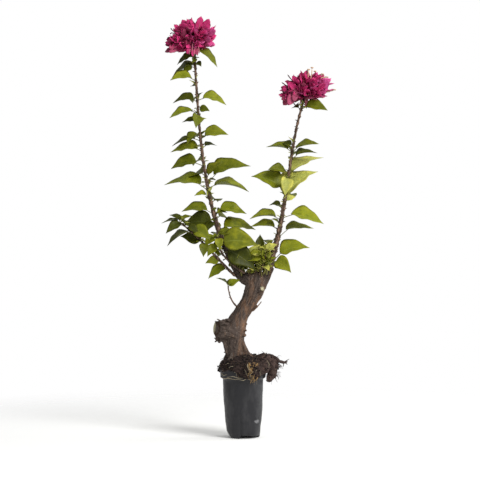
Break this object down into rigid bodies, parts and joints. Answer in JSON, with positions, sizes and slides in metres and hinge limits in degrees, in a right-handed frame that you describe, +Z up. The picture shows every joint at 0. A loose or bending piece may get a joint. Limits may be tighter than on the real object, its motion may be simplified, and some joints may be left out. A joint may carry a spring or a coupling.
{
  "type": "potted bougainvillea",
  "caption": "Young bougainvillea on an old cut-back trunk in a slim black nursery pot, with two long leafy shoots that each end in a head of magenta bracts.",
  "frame": {"origin": "middle of the pot's flat underside, on the surface that the plant stands on", "axes": "+Z up along the plant, +X to the right and +Y to the back as seen from the front, where the taller flower head is on the left"},
  "size_m": [0.345, 0.1255, 0.8438],
  "materials": {
    "pot_plastic": "thin black moulded plastic with a dull sheen",
    "soil": "dark fibrous soil and matted roots",
    "bark": "rough brown bark with long cracks",
    "foliage": "satin leaves from olive to yellow green on brown stems",
    "bracts": "papery magenta bracts"
  },
  "bodies": {
    "root": {"pot": "pot_plastic", "root_ball": "soil", "trunk": "bark", "left_bough": "bark", "right_bough": "bark", "left_foliage_low": "foliage", "left_foliage_middle": "foliage", "left_foliage_high": "foliage", "left_flower_head": "bracts", "right_foliage_low": "foliage", "right_foliage_high": "foliage", "right_flower_head": "bracts", "side_foliage": "foliage", "centre_foliage": "foliage", "young_foliage": "foliage", "low_twig_foliage": "foliage"}
  },
  "joints": []
}
